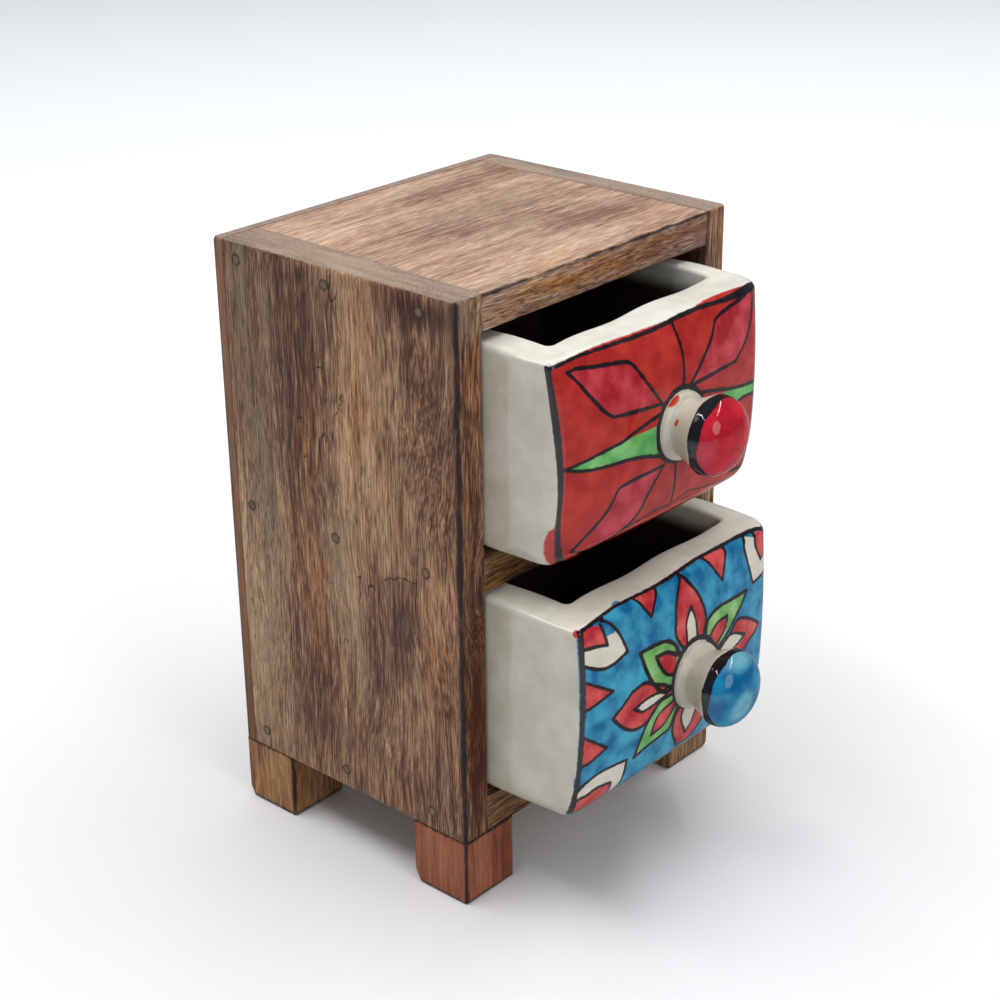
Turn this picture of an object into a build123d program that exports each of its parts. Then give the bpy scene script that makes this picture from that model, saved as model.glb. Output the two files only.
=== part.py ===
from build123d import *
import os

os.makedirs("parts", exist_ok=True)

# A small jewelry chest of mango wood with two glazed ceramic drawers, in millimetres.
# The origin is on the floor under the middle of the whole chest, drawers pulled out as they
# stand at rest. +Z is up, +X is to the right, and the drawers open towards -Y.

# Case of boards
case_width = 104.0
case_depth = 82.0
side_board = 8.6
top_board = 9.2
shelf_board = 9.8
bottom_board = 10.6
back_board = 3.5
lower_bay_height = 57.5
upper_bay_height = 57.0
arris_round = 0.9
seam_round = 0.3

# Feet
foot_side = 18.3
foot_height = 18.5
foot_round = 1.2

# Wire brads and the filler over their heads
brad_radius = 0.6
brad_head_radius = 0.95
brad_head = 0.6
brad_length = 22.0
back_brad_length = 14.0
brad_clearance = 0.05
brad_front_inset = 11.5
brad_back_inset = 5.0
brad_rows = 3
plug_radius = 1.3
plug_depth = 1.5
back_brad_levels = 4
back_brad_inset = 9.0
foot_brad_pitch = 8.0
foot_brad_inset = 4.5

# Ceramic drawers
drawer_under_gap = 0.3
drawer_left_gap = 0.7
drawer_right_gap = 4.4
drawer_behind_gap = 2.0
upper_drawer_headroom = 2.9
lower_drawer_headroom = 1.0
upper_drawer_pull = 20.8
lower_drawer_pull = 28.3
drawer_wall = 7.2
drawer_front_wall = 9.8
drawer_floor = 7.0
front_swell_high = 3.0
front_swell_wide = 1.5
lip_lift = 1.6
lip_lift_length = 38.0
drawer_end_round = 9.0
drawer_left_round = 4.0
drawer_right_round = 8.0
cavity_corner = 4.0
cavity_foot_round = 3.0
rim_round = 1.8

# Ceramic knobs
knob_rise = 1.0
collar_radius = 8.7
collar_edge = 1.0
neck_radius = 7.8
neck_at = 4.0
head_radius = 10.1
head_at = 9.8
head_round = 0.6
knob_length = 17.3
knob_seat = 1.5

# Levels and places that follow
bay_width = case_width - 2 * side_board
board_depth = case_depth - back_board
bottom_top = foot_height + bottom_board
shelf_under = bottom_top + lower_bay_height
shelf_top = shelf_under + shelf_board
top_under = shelf_top + upper_bay_height
case_top = top_under + top_board
front_swell = front_swell_high + front_swell_wide
reach = max(upper_drawer_pull, lower_drawer_pull) + front_swell + knob_length
front_y = (reach - case_depth) / 2
back_y = front_y + case_depth
board_mid_y = front_y + board_depth / 2
case_mid_y = front_y + case_depth / 2
foot_x = (case_width - foot_side) / 2
foot_y = (case_depth - foot_side) / 2
drawer_width = bay_width - drawer_left_gap - drawer_right_gap
drawer_depth = board_depth - drawer_behind_gap
drawer_x = (drawer_left_gap - drawer_right_gap) / 2
brad_hole = brad_radius + brad_clearance
brad_head_hole = brad_head_radius + brad_clearance
brad_head_sink = brad_head + brad_clearance

cross_levels = [foot_height + bottom_board / 2, shelf_under + shelf_board / 2, top_under + top_board / 2]


def side_seats(hand):
    """Planes on the outer face of a side board where its brads are driven in, hand -1 for left."""
    first_y = front_y + brad_front_inset
    pitch = (board_depth - brad_front_inset - brad_back_inset) / (brad_rows - 1)
    return [
        Plane(origin=(hand * case_width / 2, first_y + row * pitch, z), z_dir=(hand, 0, 0))
        for z in cross_levels
        for row in range(brad_rows)
    ]


def back_seats(hand):
    """Planes on the rear face of the back panel, over the rear end of one side board."""
    lowest = foot_height + back_brad_inset
    step = (case_top - back_brad_inset - lowest) / (back_brad_levels - 1)
    x = hand * (case_width - side_board) / 2
    return [
        Plane(origin=(x, back_y, lowest + level * step), z_dir=(0, 1, 0))
        for level in range(back_brad_levels)
    ]


def foot_seats():
    """Planes on top of the bottom board, two over the inner half of each foot."""
    x = bay_width / 2 - foot_brad_inset
    return [
        Plane(origin=(hand * x, case_mid_y + end * foot_y + turn * foot_brad_pitch / 2, bottom_top))
        for hand in (-1, 1)
        for end in (-1, 1)
        for turn in (-1, 1)
    ]


def brads(label, seats, length):
    """A group of like brads, each driven straight in from its seat."""
    with BuildPart() as group:
        for seat in seats:
            with BuildSketch(seat):
                Circle(brad_head_radius)
            extrude(amount=-brad_head)
            with BuildSketch(seat.offset(-brad_head)):
                Circle(brad_radius)
            extrude(amount=brad_head - length)
    group.part.label = label
    export_step(group.part, f"parts/{label}.step")


# Side boards: grain upright, their top ends show on top of the chest.
for side, hand in (("left", -1), ("right", 1)):
    outward = Axis((0, 0, 0), (hand, 0, 0))
    with BuildPart() as side_panel:
        with BuildSketch(Plane.XY.offset(foot_height)):
            with Locations((hand * (case_width - side_board) / 2, board_mid_y)):
                Rectangle(side_board, board_depth)
        extrude(amount=case_top - foot_height)
        fillet(side_panel.faces().sort_by(outward)[-1].edges(), arris_round)
        fillet(side_panel.faces().sort_by(outward)[0].edges(), seam_round)
        with Locations(*side_seats(hand)):
            CounterBoreHole(
                brad_hole, plug_radius + brad_clearance, plug_depth + brad_head_sink, side_board
            )
        with Locations(*[seat.offset(-back_board) for seat in back_seats(hand)]):
            Hole(brad_hole, back_brad_length + brad_clearance - back_board)
    side_panel.part.label = f"{side}_side"
    export_step(side_panel.part, f"parts/{side}_side.step")

    brads(f"{side}_side_brads", [seat.offset(-plug_depth) for seat in side_seats(hand)], brad_length)

    with BuildPart() as plugs:
        for seat in side_seats(hand):
            with BuildSketch(seat):
                Circle(plug_radius)
            extrude(amount=-plug_depth)
    plugs.part.label = f"{side}_side_plugs"
    export_step(plugs.part, f"parts/{side}_side_plugs.step")

# Boards between the sides: the top, the shelf under the upper drawer and the bottom.
brad_reach = plug_depth + brad_length + brad_clearance - side_board
for label, under, thickness in (
    ("bottom_panel", foot_height, bottom_board),
    ("middle_shelf", shelf_under, shelf_board),
    ("top_panel", top_under, top_board),
):
    with BuildPart() as cross_panel:
        with BuildSketch(Plane.XY.offset(under)):
            with Locations((0, board_mid_y)):
                Rectangle(bay_width, board_depth)
        extrude(amount=thickness)
        fillet(cross_panel.edges(), seam_round)
        level = under + thickness / 2
        for hand in (-1, 1):
            ends = [seat.offset(-side_board) for seat in side_seats(hand) if seat.origin.Z == level]
            with Locations(*ends):
                Hole(brad_hole, brad_reach)
        if label == "bottom_panel":
            with Locations(*foot_seats()):
                CounterBoreHole(brad_hole, brad_head_hole, brad_head_sink, thickness)
    cross_panel.part.label = label
    export_step(cross_panel.part, f"parts/{label}.step")

# Back panel: thin board nailed over the rear ends of the sides.
with BuildPart() as back_panel:
    with BuildSketch(Plane.XY.offset(foot_height)):
        with Locations((0, back_y - back_board / 2)):
            Rectangle(case_width, back_board)
    extrude(amount=case_top - foot_height)
    fillet(back_panel.faces().sort_by(Axis.Y)[-1].edges(), arris_round)
    with Locations(*back_seats(-1), *back_seats(1)):
        CounterBoreHole(brad_hole, brad_head_hole, brad_head_sink, back_board)
back_panel.part.label = "back_panel"
export_step(back_panel.part, "parts/back_panel.step")

brads(
    "back_brads",
    [seat.offset(-brad_clearance) for hand in (-1, 1) for seat in back_seats(hand)],
    back_brad_length - brad_clearance,
)

# Feet: square blocks flush with the corners of the case, glued and nailed from inside.
for label, x, y in (
    ("foot_front_left", -foot_x, case_mid_y - foot_y),
    ("foot_front_right", foot_x, case_mid_y - foot_y),
    ("foot_back_left", -foot_x, case_mid_y + foot_y),
    ("foot_back_right", foot_x, case_mid_y + foot_y),
):
    with BuildPart() as foot:
        with BuildSketch():
            with Locations((x, y)):
                Rectangle(foot_side, foot_side)
        extrude(amount=foot_height)
        fillet(foot.edges().filter_by(Axis.Z), arris_round)
        fillet(foot.faces().sort_by(Axis.Z)[0].edges(), foot_round)
        own = [s for s in foot_seats() if abs(s.origin.X - x) < foot_side and abs(s.origin.Y - y) < foot_side]
        with Locations(*[seat.offset(-bottom_board) for seat in own]):
            Hole(brad_hole, brad_length + brad_clearance - bottom_board)
    foot.part.label = label
    export_step(foot.part, f"parts/{label}.step")

brads(
    "foot_brads",
    [seat.offset(-brad_clearance) for seat in foot_seats()],
    brad_length - brad_clearance,
)


# Drawers: press-moulded ceramic trays with a front that swells like a pillow and an underside
# that lifts a little towards the front. Each has a knob, made apart and luted on before firing.
bow_radius = (drawer_width / 2) ** 2 / (2 * front_swell_wide) + front_swell_wide / 2
dome_height = knob_length - head_at
dome_radius = (head_radius**2 + dome_height**2) / (2 * dome_height)
cavity_width = drawer_width - 2 * drawer_wall
cavity_depth = drawer_depth - drawer_front_wall - drawer_wall
for name, floor, under, pull in (
    ("upper", shelf_top, top_under - upper_drawer_headroom, upper_drawer_pull),
    ("lower", bottom_top, shelf_under - lower_drawer_headroom, lower_drawer_pull),
):
    base = floor + drawer_under_gap
    drawer_height = under - base
    mid_z = base + drawer_height / 2
    swell_radius = (drawer_height / 2) ** 2 / (2 * front_swell_high) + front_swell_high / 2
    edge_y = front_y - pull
    tip_y = edge_y - front_swell
    pivot = (drawer_x, tip_y + bow_radius, mid_z)
    with BuildPart() as drawer:
        with BuildSketch(Plane(origin=pivot, x_dir=(0, -1, 0), z_dir=(-1, 0, 0))):
            with BuildLine():
                swell = CenterArc((bow_radius - swell_radius, 0), swell_radius, -45, 90)
                Polyline(swell @ 1, (0, (swell @ 1).Y), (0, (swell @ 0).Y), swell @ 0)
            make_face()
        revolve(axis=Axis(pivot, (0, 0, 1)))
        with BuildSketch(Plane(origin=(drawer_x, edge_y, base), x_dir=(0, 1, 0), z_dir=(1, 0, 0))):
            with BuildLine():
                Polyline(
                    (-front_swell, lip_lift),
                    (-front_swell, drawer_height),
                    (drawer_depth, drawer_height),
                    (drawer_depth, 0),
                    (lip_lift_length, 0),
                )
                TangentArc((lip_lift_length, 0), (-front_swell, lip_lift), tangent=(-1, 0))
            make_face()
        extrude(amount=drawer_width / 2, both=True, mode=Mode.INTERSECT)
        fillet(drawer.faces().sort_by(Axis.Y)[0].edges().sort_by(Axis.Z)[0], drawer_end_round)
        fillet(drawer.faces().sort_by(Axis.Y)[-1].edges().sort_by(Axis.Z)[0], drawer_end_round)
        for end, side_round in ((0, drawer_left_round), (-1, drawer_right_round)):
            outline = drawer.faces().sort_by(Axis.X)[end].edges().sort_by(Axis.Z)[:-1]
            fillet(outline, side_round)
        with BuildSketch(Plane.XY.offset(under)):
            with Locations((drawer_x, edge_y + drawer_front_wall + cavity_depth / 2)):
                RectangleRounded(cavity_width, cavity_depth, cavity_corner)
        extrude(amount=drawer_floor - drawer_height, mode=Mode.SUBTRACT)
        fillet(drawer.faces(Select.LAST).sort_by(Axis.Z)[0].edges(), cavity_foot_round)
        fillet(drawer.faces().sort_by(Axis.Z)[-1].edges(), rim_round)
    drawer.part.label = f"{name}_drawer"
    export_step(drawer.part, f"parts/{name}_drawer.step")

    knob_at = (drawer_x, tip_y, mid_z + knob_rise)
    with BuildPart() as knob:
        with BuildSketch(Plane(origin=knob_at, x_dir=(1, 0, 0), z_dir=(0, 0, -1))) as profile:
            with BuildLine():
                Polyline(
                    (0, knob_length),
                    (0, -knob_seat),
                    (collar_radius, -knob_seat),
                    (collar_radius, collar_edge),
                )
                collar = TangentArc((collar_radius, collar_edge), (neck_radius, neck_at), tangent=(0, 1))
                flare = TangentArc(collar @ 1, (head_radius, head_at), tangent=(0, 1))
                RadiusArc(flare @ 1, (0, knob_length), -dome_radius)
            make_face()
            fillet(profile.vertices().sort_by(Axis.X)[-1], head_round)
        revolve(axis=Axis(knob_at, (0, -1, 0)))
        add(drawer.part, mode=Mode.SUBTRACT)
    knob.part.label = f"{name}_knob"
    export_step(knob.part, f"parts/{name}_knob.step")

print(f"front of the case at y {front_y:.2f}, its back at y {back_y:.2f}, top at z {case_top:.2f}")
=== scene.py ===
import math
from functools import partial

import bpy
import numpy as np
from mathutils import Matrix, Vector


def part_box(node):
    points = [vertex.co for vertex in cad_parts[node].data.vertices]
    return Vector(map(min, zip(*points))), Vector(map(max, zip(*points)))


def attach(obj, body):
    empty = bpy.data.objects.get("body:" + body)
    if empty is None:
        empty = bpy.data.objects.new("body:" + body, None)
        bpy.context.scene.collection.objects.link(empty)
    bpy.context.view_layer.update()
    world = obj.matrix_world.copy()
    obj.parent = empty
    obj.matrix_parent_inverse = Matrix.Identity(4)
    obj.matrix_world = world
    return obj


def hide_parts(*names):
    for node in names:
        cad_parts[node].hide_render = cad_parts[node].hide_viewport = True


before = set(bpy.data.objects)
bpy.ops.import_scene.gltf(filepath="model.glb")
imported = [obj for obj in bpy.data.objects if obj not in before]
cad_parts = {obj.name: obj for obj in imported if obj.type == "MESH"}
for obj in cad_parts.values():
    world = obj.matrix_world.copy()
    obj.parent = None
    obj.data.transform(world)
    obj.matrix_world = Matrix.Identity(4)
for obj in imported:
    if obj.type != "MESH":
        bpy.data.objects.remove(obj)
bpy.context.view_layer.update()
MM = 0.001

# ---------------------------------------------------------------------------
# Side boards. Two upright boards of hand-planed mango wood, stained and waxed,
# with the cross boards nailed between them. Stain has gathered along their eased
# arrises, and beetles have left a few curled tracks on the left one.


def linear(colour):
    """An sRGB hex colour as linear RGBA."""
    c = np.array([int(colour[i : i + 2], 16) / 255 for i in (1, 3, 5)])
    c = np.where(c <= 0.04045, c / 12.92, ((c + 0.055) / 1.055) ** 2.4)
    return (*c.tolist(), 1.0)


def add(material, kind, links=(), stops=None, **settings):
    """Adds a shader node. Links give its open sockets, in order or by name or number, a value, a
    socket or a node. Stops are the (place, colour) pairs of a colour ramp."""
    node = material.node_tree.nodes.new("ShaderNode" + kind)
    for name, value in settings.items():
        setattr(node, name, value)
    for i, (place, colour) in enumerate(stops or ()):
        ramp = node.color_ramp.elements
        stop = ramp[i] if i < len(ramp) else ramp.new(place)
        stop.position, stop.color = place, linear(colour)
    sockets = [s for s in node.inputs if not s.is_unavailable]
    for key, value in (links if isinstance(links, dict) else dict(enumerate(links))).items():
        socket = sockets[key] if isinstance(key, int) else next(s for s in sockets if s.name == key)
        if isinstance(value, bpy.types.Node):
            value = next(s for s in value.outputs if not s.is_unavailable)
        if isinstance(value, bpy.types.NodeSocket):
            material.node_tree.links.new(value, socket)
        else:
            socket.default_value = value
    return node


def new_material(name):
    """An empty material, and add bound to it."""
    material = bpy.data.materials.new(name)
    material.use_nodes = True
    material.node_tree.nodes.clear()
    return material, partial(add, material)


def finish(material, colour, roughness, relief, depth, **sockets):
    """Principled surface with its relief, whose full depth is given in millimetres."""
    bump = add(material, "Bump", {"Height": relief, "Distance": depth * MM, "Strength": 1.0})
    links = {"Base Color": colour, "Roughness": roughness, "Normal": bump}
    links.update({key.replace("_", " "): value for key, value in sockets.items()})
    shader = add(material, "BsdfPrincipled", links)
    add(material, "OutputMaterial", {"Surface": shader})


RGBA = {"data_type": "RGBA"}
SMOOTH = {"interpolation_type": "SMOOTHSTEP"}
PER_METRE = (1000, 1000, 1000)
TURN_UPRIGHT = {"x": (0, -math.pi / 2, 0), "z": (0, 0, 0)}
AXIS = {"x": (1, 0, 0), "z": (0, 0, 1)}


def mango_wood(name, grain, start, tones, cut_tone, vessels=0.6, fibres=1.15, arris="#22161B"):
    """Planed mango wood, stained and waxed: fine fibres half a millimetre wide, stripes a few
    millimetres wide and open vessels that show as short dark dashes, all drawn out along the grain.
    The tone is the sum of the centred noises times their strengths. The board's own attributes
    shift it from place to place: light and warm its tone and hue, open the number of vessels, lean
    the run of the grain, and stain, track and brad give the distance to a dark mark. The wax gives
    it a low satin sheen."""
    wood, node = new_material(name)
    place = node("TexCoord").outputs["Object"]
    upright = node("Mapping", (place, start, TURN_UPRIGHT[grain], PER_METRE))

    keys = ("light", "warm", "open", "lean", "stain", "track", "brad")
    given = {key: node("Attribute", attribute_name=key).outputs["Fac"] for key in keys}

    sway = node("VectorMath", (upright, (1 / 22, 1 / 22, 1 / 45)), operation="MULTIPLY")
    sway = node("TexNoise", {"Vector": sway, "Scale": 1.0, "Detail": 2.0}).outputs["Color"]
    run = node("VectorMath", (sway, (4, 4, 0), upright), operation="MULTIPLY_ADD")
    run = node("VectorMath", (given["lean"], (1, 1, 0), run), operation="MULTIPLY_ADD")

    def strands(across, length, detail, shift=0.0):
        """Noise drawn out along the grain, with its width and length in millimetres."""
        size = (run, (1 / across, 1 / across, 1 / length), (shift, shift, shift))
        size = node("VectorMath", size, operation="MULTIPLY_ADD")
        return node("TexNoise", {"Vector": size, "Scale": 1.0, "Detail": detail, "Roughness": 0.6})

    def swung(noise, strength, base):
        """The base plus the noise about its middle times its strength."""
        centred = node("Math", (noise, 0.5), operation="SUBTRACT")
        return node("Math", (centred, strength, base), operation="MULTIPLY_ADD")

    broad, stripe = strands(11, 70, 2.0), strands(1.7, 34, 3.0, 7.0)
    fibre, vessel = strands(0.42, 6.5, 2.0, 3.0), strands(0.36, 3.2, 1.0, 11.0)
    tone = node("Math", (given["light"], 0.475), operation="ADD")
    tone = swung(broad, 0.36, tone)
    tone = swung(fibre, fibres, swung(stripe, 0.7, tone))
    colour = node("ValToRGB", (tone,), stops=zip((0.18, 0.36, 0.5, 0.64, 0.82), tones))
    hue = swung(strands(6, 40, 2.0, 19.0), 2.4, given["warm"])
    hue = swung(strands(0.8, 12, 2.0, 27.0), 2.6, hue)
    golden = node("MapRange", (hue, 0.0, 1.8, 0.0, 1.0), **SMOOTH)
    colour = node("Mix", (golden, colour, linear("#FFD38C")), blend_type="MULTIPLY", **RGBA)
    grey = node("MapRange", (hue, 0.0, -1.4, 0.0, 0.6), **SMOOTH)
    colour = node("Mix", (grey, colour, linear("#8D7F68")), **RGBA)
    dash = node("Math", (given["open"], 0.1, vessel), operation="MULTIPLY_ADD")
    dash = node("MapRange", (dash, 0.6, 0.72, 0.0, vessels), **SMOOTH)
    colour = node("Mix", (dash, colour, linear("#33201A")), **RGBA)

    # The ends are cut across the vessels: a greyer, even tone with fine pores and saw marks.
    normal = node("NewGeometry").outputs["Normal"]
    facing = node("VectorMath", (normal, AXIS[grain]), operation="DOT_PRODUCT")
    facing = node("Math", (facing,), operation="ABSOLUTE")
    end_grain = node("MapRange", (facing, 0.55, 0.85, 0.0, 1.0), **SMOOTH)
    pores = node("MapRange", (strands(0.7, 0.7, 3.0, 5.0), 0.3, 0.7, 0.8, 1.15), **SMOOTH)
    sawn = node("VectorMath", (upright, (1 / 1.4, 1 / 14, 1)), operation="MULTIPLY")
    sawn = node("TexNoise", {"Vector": sawn, "Scale": 1.0, "Detail": 3.0})
    sawn = node("MapRange", (sawn, 0.3, 0.7, 0.82, 1.14), **SMOOTH)
    pores = node("Math", (pores, sawn), operation="MULTIPLY")
    pores = node("Math", (given["light"], 0.8, pores), operation="MULTIPLY_ADD")
    cut = node("VectorMath", {0: linear(cut_tone)[:3], "Scale": pores}, operation="SCALE")
    colour = node("Mix", (end_grain, colour, cut), **RGBA)

    # Stain soaked in along the arrises, beetle tracks, and a dark ring round each filled brad hole.
    ragged = swung(strands(1.6, 7, 3.0, 23.0), 1.9, given["stain"])
    soaked = node("MapRange", (ragged, 0.7, -0.35, 0.0, 0.95), **SMOOTH)
    colour = node("Mix", (soaked, colour, linear(arris)), **RGBA)
    waver = node("Math", (strands(0.9, 0.9, 2.0, 31.0), 0.5), operation="SUBTRACT")
    track = node("Math", (waver, 0.6, given["track"]), operation="MULTIPLY_ADD")
    track = node("MapRange", (track, 0.12, -0.1, 0.0, 0.85), **SMOOTH)
    colour = node("Mix", (track, colour, linear("#2A1713")), **RGBA)
    ring = node("Math", (waver, 1.6, given["brad"]), operation="MULTIPLY_ADD")
    ring = node("MapRange", (ring, 1.75, 1.3, 0.0, 0.75), **SMOOTH)
    colour = node("Mix", (ring, colour, linear("#33201C")), **RGBA)

    hollow = node("Math", (dash, track), operation="ADD")
    hollow = node("Math", (hollow, -0.6), operation="MULTIPLY")
    relief = node("Math", (fibre, 0.5, hollow), operation="MULTIPLY_ADD")
    sheen = node("MapRange", (stripe, 0.3, 0.7, 0.62, 0.5), **SMOOTH)
    finish(wood, colour, sheen, relief, 0.1, Specular_IOR_Level=0.2)
    return wood


def ringed(corner, share, angle, left, right, near, far, radius):
    """Rounded rectangles, one a row, from their four sides and four corner radii. Each column has its
    corner, counted from the front left, its share of the side after it and its outward angle."""
    after = (corner + 1) % 4
    cos, sin = np.cos(angle), np.sin(angle)
    cx = np.stack((left, right, right, left), 1) + radius * (1, -1, -1, 1)
    cy = np.stack((near, near, far, far), 1) + radius * (1, 1, -1, -1)

    def blended(centre, turn):
        """The corner's point, moved by the share towards the next corner's."""
        here = centre[:, corner] + radius[:, corner] * turn
        there = centre[:, after] + radius[:, after] * turn
        return here * (1 - share) + there * share

    return blended(cx, cos), blended(cy, sin)


def columns_of(counts):
    """Corner, share and angle of each column, from (arc, side) column counts for each corner."""
    corner, share, angle = [], [], []
    for c, (arc, side) in enumerate(counts):
        corner += [c] * (arc + side)
        share += [0.0] * arc + list(np.arange(side) / side)
        angle += list(-180 + 90 * (c + np.arange(arc) / arc)) + [90 * c - 90] * side
    return np.array(corner), np.array(share), np.radians(angle)


def closed_shell(name, points, attributes):
    """A mesh of rings, each joined to the next and round to itself, closed by a fan at either end."""
    rings, columns = points.shape[:2]
    middle = points[[0, -1]].mean(1)
    i = np.arange(rings * columns).reshape(rings, columns)
    j = np.roll(i, -1, 1)
    quads = np.stack((i[:-1], j[:-1], j[1:], i[1:]), -1).reshape(-1, 4)
    bottom = np.full(columns, rings * columns)
    fans = np.stack((np.r_[j[0], i[-1]], np.r_[i[0], j[-1]], np.r_[bottom, bottom + 1]), -1)
    mesh = bpy.data.meshes.new(name)
    verts = np.concatenate((points.reshape(-1, 3), middle)) * MM
    mesh.from_pydata(verts.tolist(), [], quads.tolist() + fans.tolist())
    mesh.polygons.foreach_set("use_smooth", np.ones(len(mesh.polygons), bool))
    for key, values in attributes.items():
        layer = mesh.attributes.new(key, "FLOAT", "POINT")
        ends = (values[0].mean(), values[-1].mean())
        layer.data.foreach_set("value", np.append(values.ravel(), ends).astype(np.float32))
    mesh.validate()
    mesh.update()
    piece = bpy.data.objects.new(name, mesh)
    bpy.context.scene.collection.objects.link(piece)
    return piece


def stroke(*points):
    """A smooth Catmull-Rom curve through its points."""
    p = np.array(points, float)
    if len(p) == 2:
        return p
    p = np.concatenate((2 * p[:1] - p[1:2], p, 2 * p[-1:] - p[-2:-1]))
    t = np.linspace(0, 1, 8, endpoint=False)[:, None, None]
    a, b, c, d = p[:-3], p[1:-2], p[2:-1], p[3:]
    bend = (2 * a - 5 * b + 4 * c - d) * t**2 + (3 * b - a - 3 * c + d) * t**3
    curve = 0.5 * (2 * b + (c - a) * t + bend)
    return np.concatenate((curve.transpose(1, 0, 2).reshape(-1, 2), p[-2:-1]))


def joined(first, *rest):
    """Strokes laid end to end, each starting where the one before it ended."""
    strokes = [stroke(*first)]
    for part in rest:
        strokes.append(stroke(strokes[-1][-1], *part))
    return strokes


FAR = 99.0  # millimetres, further from a mark than any point is


def ink(spots, line, *pen):
    """Distance in millimetres from each spot to a stroke, less half the pen's width, which runs
    evenly from its first to its last value."""
    a, b = line[:-1], line[1:]
    along = b - a
    best = np.full(len(spots), FAR)
    width = np.interp(np.linspace(0, 1, len(line)), np.linspace(0, 1, len(pen)), pen)
    for k in range(len(a)):
        f = np.clip((spots - a[k]) @ along[k] / max(along[k] @ along[k], 1e-9), 0, 1)
        gap = np.hypot(*(spots - a[k] - f[:, None] * along[k]).T)
        best = np.minimum(best, gap - (width[k] * (1 - f) + width[k + 1] * f) / 2)
    return best


def soft_patches(points, rows):
    """A sum of soft ellipsoids, each given as centre, radii and strength."""
    total = np.zeros(points.shape[:-1])
    for centre, radii, strength in rows:
        total += strength * np.exp(-(((points - centre) / np.array(radii, float)) ** 2).sum(-1))
    return total


FRONT, FLOOR, TOP = -15.95, 18.5, 162.6
LEFT, RIGHT = -52.0, 52.0
BRAD_Y, BRAD_Z = (-4.45, 26.55, 57.55), (23.8, 91.5, 158.0)


def off_face(points, x):
    """A growing distance for points that lie off the outer face at x, so no mark reaches them."""
    return 4 * np.maximum(np.abs(points[..., 0] - x) - 0.1, 0)


def brad_distance(points, x):
    """Distance to the nearest filled brad hole on the outer face at x."""
    gaps = [np.hypot(points[..., 1] - y, points[..., 2] - z) for y in BRAD_Y for z in BRAD_Z]
    return np.minimum.reduce(gaps) + off_face(points, x)


def planed_board(
    cad_node, grain, counts, rings, arrises, ends, shape=None,
    light=(), warm=(), open_grain=(), lean=(), stain=(), tracks=None, face=None,
):
    """A board with eased arrises in place of its CAD node: a rounded rectangle carried along the
    grain, drawn in by a quarter circle at both ends. Across the grain its sides are left, right,
    near and far, its ends' easings follow that order, and its arrises start at the near left. The
    light, warm and open_grain rows are soft patches, and each lean row is one where the grain runs
    aslant by that slope. Each stain row is (fixed axes, their values, width) of a straight line that
    has soaked up stain, and tracks gives a distance in millimetres for every point. Face is (axis,
    place, depth) of an outer face planed that hair below its filler or brad heads."""
    low, high = (np.array(corner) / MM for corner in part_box(cad_node))
    if face:
        axis, place, depth = face
        (low if place < 0 else high)[axis] -= math.copysign(depth, place)
    order = {"z": [0, 1, 2], "x": [1, 2, 0]}[grain]
    (left, near, start), (right, far, stop) = low[order], high[order]
    foot, head = np.array(ends, float)
    q = np.linspace(np.pi / 2, 0, 5)[:, None]
    fall = np.linspace(0, 1, 4)[:-1, None]
    half = min(right - left, far - near) / 2 - 0.05
    foot_inset, head_inset = foot * (1 - np.cos(q)), head * (1 - np.cos(q[::-1]))
    inset = np.concatenate((
        half * (1 - fall) + fall * foot_inset[0],
        foot_inset,
        np.zeros((rings - 2, 4)),
        head_inset,
        half * (1 - fall[::-1]) + fall[::-1] * head_inset[-1],
    ))
    along = np.concatenate((
        np.full(3, start),
        start + foot.max() * (1 - np.sin(q[:, 0])),
        np.linspace(start + foot.max(), stop - head.max(), rings)[1:-1],
        stop - head.max() * (1 - np.sin(q[::-1, 0])),
        np.full(3, stop),
    ))
    beside = np.maximum(inset[:, (0, 1, 1, 0)], inset[:, (2, 2, 3, 3)])
    sides = left + inset[:, 0], right - inset[:, 1], near + inset[:, 2], far - inset[:, 3]
    across = np.minimum(sides[1] - sides[0], sides[3] - sides[2])
    radius = np.maximum(np.array(arrises, float) - beside, 0.1)
    radius = np.minimum(radius, across[:, None] / 2.05)
    x, y = ringed(*columns_of(counts), *sides, radius)
    points = np.empty((*x.shape, 3))
    points[..., order] = np.stack((x, y, np.broadcast_to(along[:, None], x.shape)), -1)
    if shape:
        points = shape(points)
    nowhere = np.full(x.shape, FAR)
    stained, leaning = nowhere, np.zeros(x.shape)
    for axes, values, width in stain:
        gap = np.linalg.norm(points[..., list(axes)] - np.array(values, float), axis=-1) - width / 2
        stained = np.minimum(stained, gap)
    up = order[2]
    for centre, radii, slope in lean:
        leaning += soft_patches(points, [(centre, radii, slope)]) * (points[..., up] - centre[up])
    attributes = {
        "lean": leaning,
        "light": soft_patches(points, light),
        "warm": soft_patches(points, warm),
        "open": soft_patches(points, open_grain),
        "stain": stained,
        "track": tracks(points) if tracks else nowhere,
        "brad": brad_distance(points, face[1]) if face and face[0] == 0 else nowhere,
    }
    board = closed_shell(cad_node + "_board", points, attributes)
    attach(board, "case")
    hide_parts(cad_node)
    return board


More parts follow.
